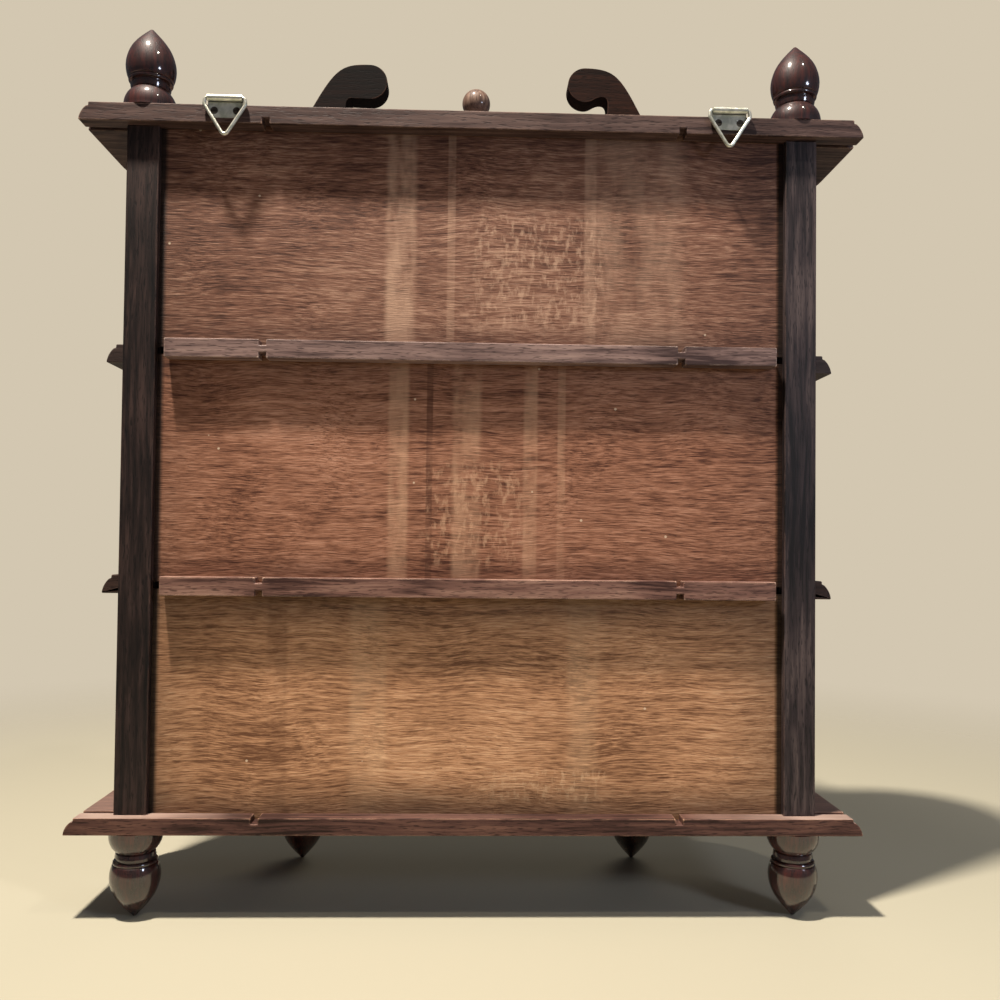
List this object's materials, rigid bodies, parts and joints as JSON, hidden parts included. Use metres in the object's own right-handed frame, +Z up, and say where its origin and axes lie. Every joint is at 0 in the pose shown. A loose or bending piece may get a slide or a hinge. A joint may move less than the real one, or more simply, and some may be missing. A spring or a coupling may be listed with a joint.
{
  "type": "wall display cabinet",
  "caption": "Small dark wood display cabinet with a glazed door, open side shelves, swan neck pediment, turned feet and finials, and ring hangers on the back.",
  "frame": {"origin": "on the surface that the feet stand on, under the middle of the whole object's width and depth", "axes": "+X to the right as one faces the front, +Y from the front to the back and the wall, +Z up"},
  "size_m": [0.4, 0.1244, 0.4826],
  "materials": {
    "case_wood": "dark red-brown stained mahogany under satin lacquer, worn at the edges",
    "post_wood": "near-black brown stained mahogany, satin",
    "door_wood": "dark red-brown stained mahogany under satin lacquer",
    "turned_wood": "turned mahogany, dark red-brown, glossy lacquer",
    "dowel_wood": "plain beech dowel, bare",
    "back_plywood": "thin plywood, thinly stained, matte, faded and streaked",
    "glass": "clear float glass",
    "hinge_brass": "plain brass, lightly tarnished",
    "nickel_steel": "nickel-plated steel",
    "screw_steel": "dull steel",
    "catch_plastic": "dark brown moulded plastic",
    "catch_magnet": "grey ferrite magnet"
  },
  "bodies": {
    "cabinet": {"back_panel_lower": "back_plywood", "back_panel_middle": "back_plywood", "back_panel_upper": "back_plywood", "ball_finial": "turned_wood", "base_board": "case_wood", "catch_body": "catch_plastic", "catch_magnet": "catch_magnet", "catch_screws": "screw_steel", "finial_left": "turned_wood", "finial_right": "turned_wood", "foot_front_left": "turned_wood", "foot_front_right": "turned_wood", "foot_rear_left": "turned_wood", "foot_rear_right": "turned_wood", "front_stile_left": "post_wood", "front_stile_right": "post_wood", "hanger_screws": "screw_steel", "hanger_strap_left": "nickel_steel", "hanger_strap_right": "nickel_steel", "hinge_lower_frame_leaf": "hinge_brass", "hinge_lower_pin": "hinge_brass", "hinge_screws_frame": "hinge_brass", "hinge_upper_frame_leaf": "hinge_brass", "hinge_upper_pin": "hinge_brass", "lower_shelf": "case_wood", "pediment_dowels": "dowel_wood", "pediment_plinth": "case_wood", "pediment_scroll_left": "case_wood", "pediment_scroll_right": "case_wood", "rear_post_left": "post_wood", "rear_post_right": "post_wood", "shelf_pins": "screw_steel", "side_glass_left_lower": "glass", "side_glass_left_middle": "glass", "side_glass_left_upper": "glass", "side_glass_right_lower": "glass", "side_glass_right_middle": "glass", "side_glass_right_upper": "glass", "top_board": "case_wood", "top_board_screws": "screw_steel", "upper_shelf": "case_wood"},
    "door": {"door_stile_hinge_side": "door_wood", "door_stile_knob_side": "door_wood", "door_rail_top": "door_wood", "door_rail_bottom": "door_wood", "door_glass": "glass", "glazing_beads": "door_wood", "door_knob": "hinge_brass", "door_knob_screw": "screw_steel", "hinge_lower_door_leaf": "hinge_brass", "hinge_upper_door_leaf": "hinge_brass", "hinge_screws_door": "hinge_brass", "strike_plate": "nickel_steel", "strike_screw": "screw_steel"},
    "ring_left": {"hanger_ring_left": "nickel_steel"},
    "ring_right": {"hanger_ring_right": "nickel_steel"}
  },
  "joints": [
    {"name": "door_hinge", "type": "hinge", "parent": "cabinet", "child": "door", "pos_m": [-0.0866, -0.04995, 0.2266], "axis": [0, 0, -1], "range_deg": [0, 170]},
    {"name": "ring_left_hinge", "type": "hinge", "parent": "cabinet", "child": "ring_left", "pos_m": [-0.1298, 0.0606, 0.4127], "axis": [1, 0, 0], "range_deg": [0, 260]},
    {"name": "ring_right_hinge", "type": "hinge", "parent": "cabinet", "child": "ring_right", "pos_m": [0.1264, 0.0606, 0.4127], "axis": [1, 0, 0], "range_deg": [0, 260]}
  ]
}
